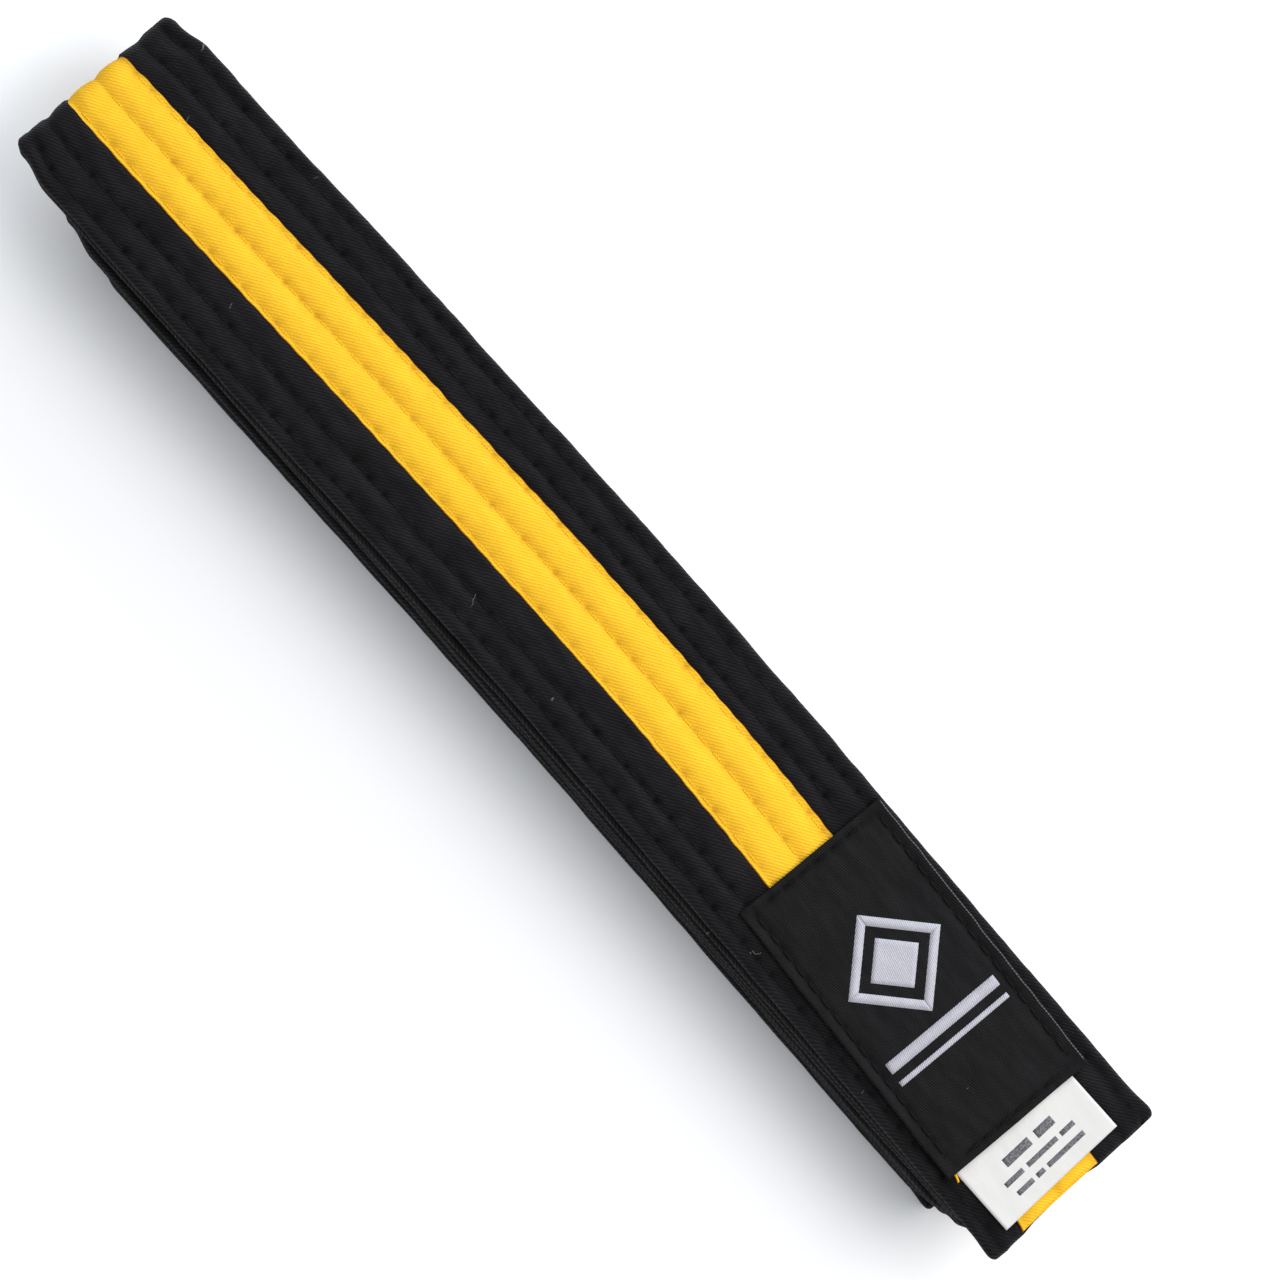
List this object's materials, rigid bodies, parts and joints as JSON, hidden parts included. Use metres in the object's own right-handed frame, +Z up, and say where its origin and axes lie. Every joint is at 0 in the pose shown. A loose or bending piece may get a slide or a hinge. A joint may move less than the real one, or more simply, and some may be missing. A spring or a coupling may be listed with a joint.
{
  "type": "martial arts belt",
  "caption": "Padded black cotton martial arts belt with a yellow centre stripe, folded flat into a layered bundle, with a sewn label and a size label at its tip.",
  "frame": {"origin": "centre of the bottom of the folded bundle", "axes": "+X along the strap towards the labelled tip, +Y across the strap, +Z up"},
  "size_m": [0.293, 0.042, 0.0283],
  "materials": {
    "black_twill": "matt cotton twill",
    "yellow_twill": "matt cotton twill tape",
    "padding": "raw cotton",
    "black_thread": "satin thread",
    "label_satin": "satin weave",
    "white_weave": "satin weave",
    "white_ribbon": "smooth ribbon",
    "grey_ink": "matt print"
  },
  "bodies": {
    "layer_8": {"layer_8_cover": "black_twill", "layer_8_ply_top": "padding", "layer_8_ply_bottom": "padding", "layer_8_tape_top": "yellow_twill", "layer_8_tape_bottom": "yellow_twill", "layer_8_stitching": "black_thread", "tip_hem_bottom": "black_twill"},
    "layer_7": {"layer_7_cover": "black_twill", "layer_7_ply_top": "padding", "layer_7_ply_bottom": "padding", "layer_7_tape_top": "yellow_twill", "layer_7_tape_bottom": "yellow_twill", "layer_7_stitching": "black_thread"},
    "layer_6": {"layer_6_cover": "black_twill", "layer_6_ply_top": "padding", "layer_6_ply_bottom": "padding", "layer_6_tape_top": "yellow_twill", "layer_6_tape_bottom": "yellow_twill", "layer_6_stitching": "black_thread"},
    "layer_5": {"layer_5_cover": "black_twill", "layer_5_ply_top": "padding", "layer_5_ply_bottom": "padding", "layer_5_tape_top": "yellow_twill", "layer_5_tape_bottom": "yellow_twill", "layer_5_stitching": "black_thread"},
    "layer_4": {"layer_4_cover": "black_twill", "layer_4_ply_top": "padding", "layer_4_ply_bottom": "padding", "layer_4_tape_top": "yellow_twill", "layer_4_tape_bottom": "yellow_twill", "layer_4_stitching": "black_thread"},
    "layer_3": {"layer_3_cover": "black_twill", "layer_3_ply_top": "padding", "layer_3_ply_bottom": "padding", "layer_3_tape_top": "yellow_twill", "layer_3_tape_bottom": "yellow_twill", "layer_3_stitching": "black_thread"},
    "layer_2": {"layer_2_cover": "black_twill", "layer_2_ply_top": "padding", "layer_2_ply_bottom": "padding", "layer_2_tape_top": "yellow_twill", "layer_2_tape_bottom": "yellow_twill", "layer_2_stitching": "black_thread"},
    "layer_1": {"layer_1_cover": "black_twill", "layer_1_ply_top": "padding", "layer_1_ply_bottom": "padding", "layer_1_tape_top": "yellow_twill", "layer_1_tape_bottom": "yellow_twill", "layer_1_stitching": "black_thread", "tip_hem_top": "black_twill", "brand_label": "label_satin", "label_motif": "white_weave", "label_stitching": "black_thread", "size_label_tuck": "white_ribbon"},
    "size_label": {"size_label": "white_ribbon", "size_print": "grey_ink"}
  },
  "joints": [
    {"name": "fold_7", "type": "hinge", "parent": "layer_8", "child": "layer_7", "pos_m": [-0.1258, 0, 0.00335], "axis": [0, -1, 0], "range_deg": [0, 180]},
    {"name": "fold_6", "type": "hinge", "parent": "layer_7", "child": "layer_6", "pos_m": [0.1372, 0, 0.00685], "axis": [0, 1, 0], "range_deg": [0, 180]},
    {"name": "fold_5", "type": "hinge", "parent": "layer_6", "child": "layer_5", "pos_m": [-0.1328, 0, 0.01035], "axis": [0, -1, 0], "range_deg": [0, 180]},
    {"name": "fold_4", "type": "hinge", "parent": "layer_5", "child": "layer_4", "pos_m": [0.1404, 0, 0.01385], "axis": [0, 1, 0], "range_deg": [0, 180]},
    {"name": "fold_3", "type": "hinge", "parent": "layer_4", "child": "layer_3", "pos_m": [-0.1398, 0, 0.01735], "axis": [0, -1, 0], "range_deg": [0, 180]},
    {"name": "fold_2", "type": "hinge", "parent": "layer_3", "child": "layer_2", "pos_m": [0.1436, 0, 0.02085], "axis": [0, 1, 0], "range_deg": [0, 180]},
    {"name": "fold_1", "type": "hinge", "parent": "layer_2", "child": "layer_1", "pos_m": [-0.1468, 0, 0.02435], "axis": [0, -1, 0], "range_deg": [0, 180]},
    {"name": "size_label_lift", "type": "hinge", "parent": "layer_1", "child": "size_label", "pos_m": [0.1295, 0, 0.0277], "axis": [0, -1, 0], "range_deg": [0, 105]}
  ]
}
